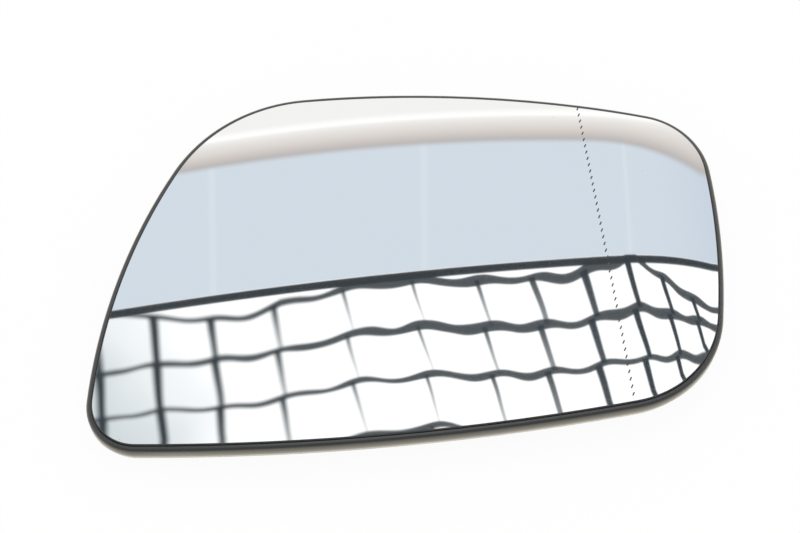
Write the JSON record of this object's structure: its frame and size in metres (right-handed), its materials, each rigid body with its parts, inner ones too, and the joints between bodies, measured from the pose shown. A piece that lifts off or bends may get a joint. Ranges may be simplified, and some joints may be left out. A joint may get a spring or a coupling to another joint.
{
  "type": "car door mirror glass",
  "caption": "Convex car door mirror glass with an aspheric outboard zone, in a black moulded carrier with a rounded rim, ribbed back, snap collar and heater blade terminals.",
  "frame": {"origin": "on the pivot axis, at the end face of the snap collar", "axes": "+Z the way the glass faces, +X along the glass towards its outboard end, +Y towards its upper edge"},
  "size_m": [0.1834, 0.1138, 0.0141],
  "materials": {
    "mirror_glass": "chromed, polished",
    "adhesive": "matt",
    "heater_film": "satin",
    "black_plastic": "fine moulded, semi-gloss",
    "terminal_brass": "stamped",
    "rivet_steel": "plated"
  },
  "bodies": {
    "root": {"mirror_glass": "mirror_glass", "adhesive_sheet": "adhesive", "heater_film": "heater_film", "carrier_plate": "black_plastic", "heater_terminal_upper": "terminal_brass", "heater_terminal_lower": "terminal_brass", "terminal_rivet_upper": "rivet_steel", "terminal_rivet_lower": "rivet_steel"}
  },
  "joints": []
}
